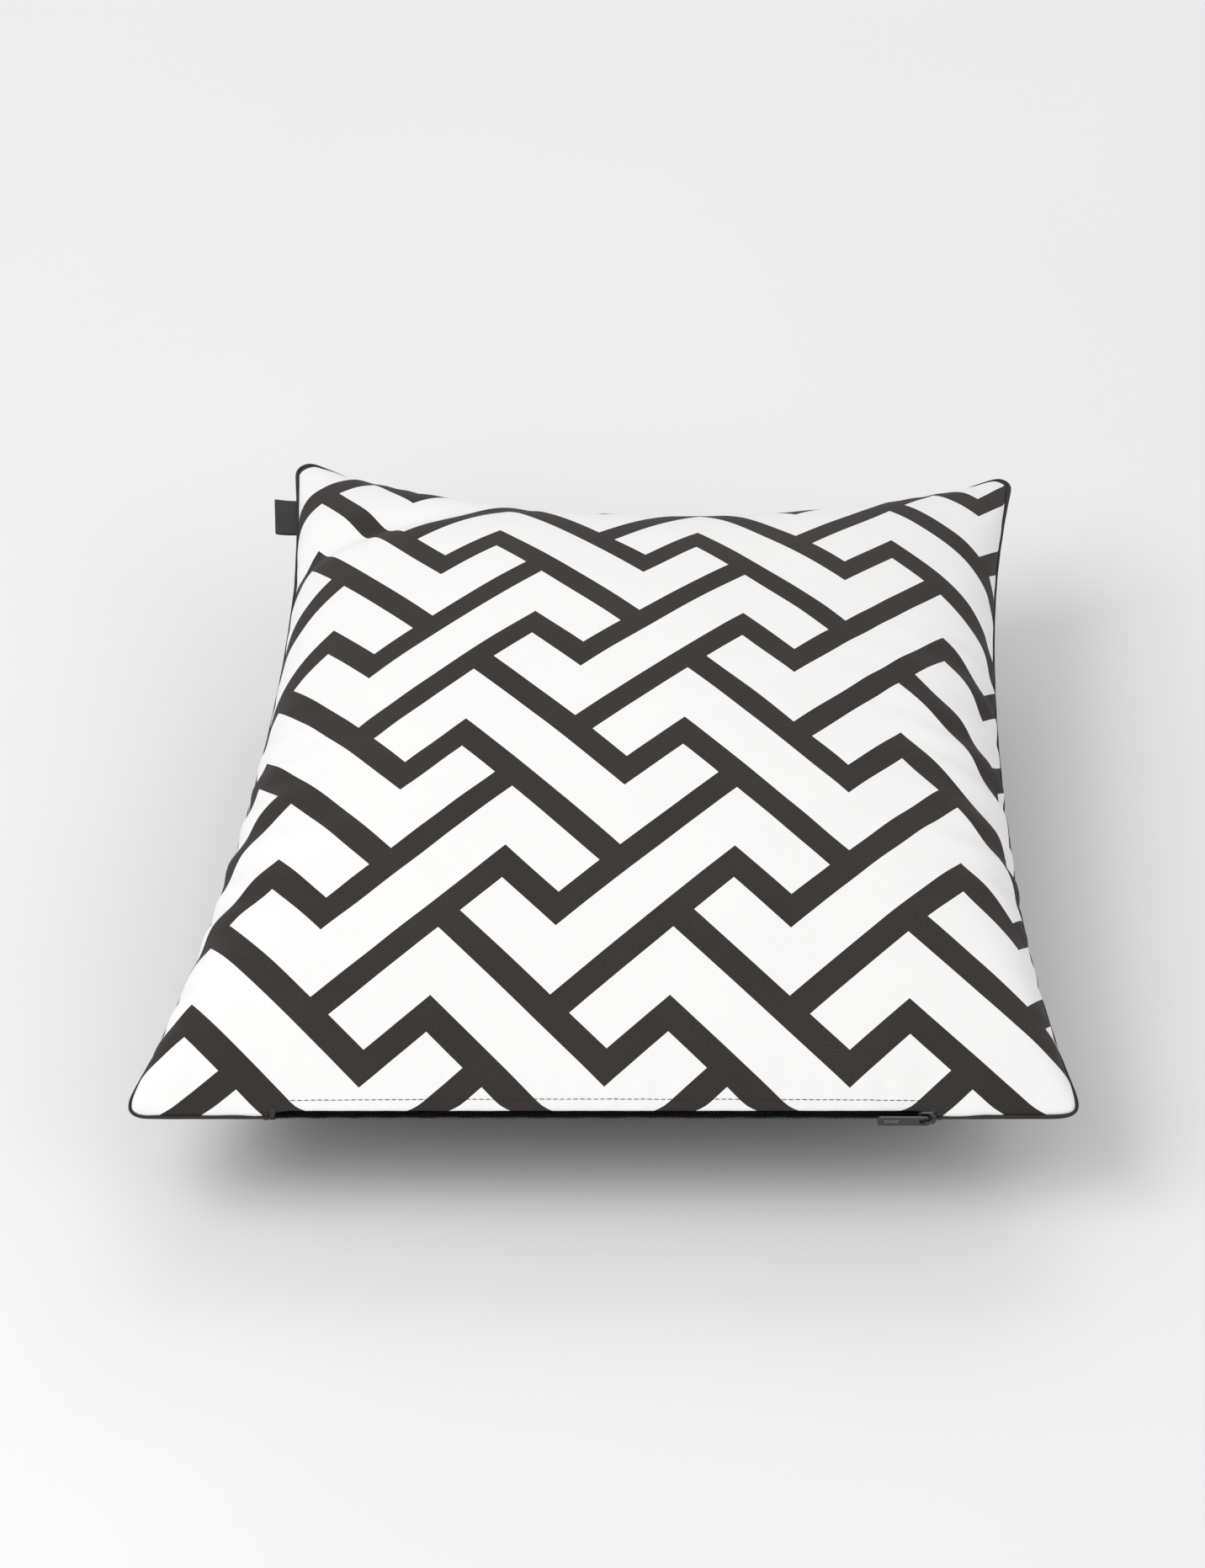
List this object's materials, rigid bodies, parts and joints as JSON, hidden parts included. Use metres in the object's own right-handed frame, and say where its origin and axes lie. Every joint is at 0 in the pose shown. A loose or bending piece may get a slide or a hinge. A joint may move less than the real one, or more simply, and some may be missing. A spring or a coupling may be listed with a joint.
{
  "type": "throw pillow",
  "caption": "Square plump throw pillow with a black and white interlocking chevron front, plain black back, zip in the bottom seam and a blank folded side label.",
  "frame": {"origin": "middle of the flat patch that the pillow's back rests on", "axes": "+Z from the back to the crown of the printed front; +Y from the zip seam up the front to the top seam; +X to the right as one looks at the front, so the side label is on -X"},
  "size_m": [0.4834, 0.4837, 0.1567],
  "materials": {
    "printed_cotton": "matte",
    "black_cotton": "matte",
    "sewing_thread": "satin",
    "zip_tape": "matte",
    "zip_coil": "satin",
    "zip_enamel": "gloss",
    "zip_stop_plastic": "matte",
    "label_ribbon": "satin",
    "care_ribbon": "satin",
    "insert_fabric": "matte",
    "insert_thread": "satin",
    "fibre_fill": "matte"
  },
  "bodies": {
    "cushion": {"front_panel": "printed_cotton", "back_panel": "black_cotton", "seam_thread": "sewing_thread", "zip_tape_front": "zip_tape", "zip_tape_back": "zip_tape", "zip_coil_front": "zip_coil", "zip_coil_back": "zip_coil", "zip_top_stops": "zip_stop_plastic", "zip_bottom_stop": "zip_stop_plastic", "zip_bar_tacks": "sewing_thread", "zip_stitching_front": "sewing_thread", "zip_stitching_back": "sewing_thread", "side_label": "label_ribbon", "side_label_tail": "label_ribbon", "care_label": "care_ribbon", "insert_case_front": "insert_fabric", "insert_case_back": "insert_fabric", "insert_seam_thread": "insert_thread", "insert_filling": "fibre_fill"},
    "slider": {"zip_slider": "zip_enamel"},
    "pull": {"zip_pull_tab": "zip_enamel"}
  },
  "joints": [
    {"name": "zip_slide", "type": "slide", "parent": "cushion", "child": "slider", "axis": [-1, 0, 0], "range_m": [0, 0.325]},
    {"name": "pull_swing", "type": "hinge", "parent": "slider", "child": "pull", "pos_m": [0.1626, -0.2442, 0.072], "axis": [0, 0, 1], "range_deg": [0, 175]}
  ]
}
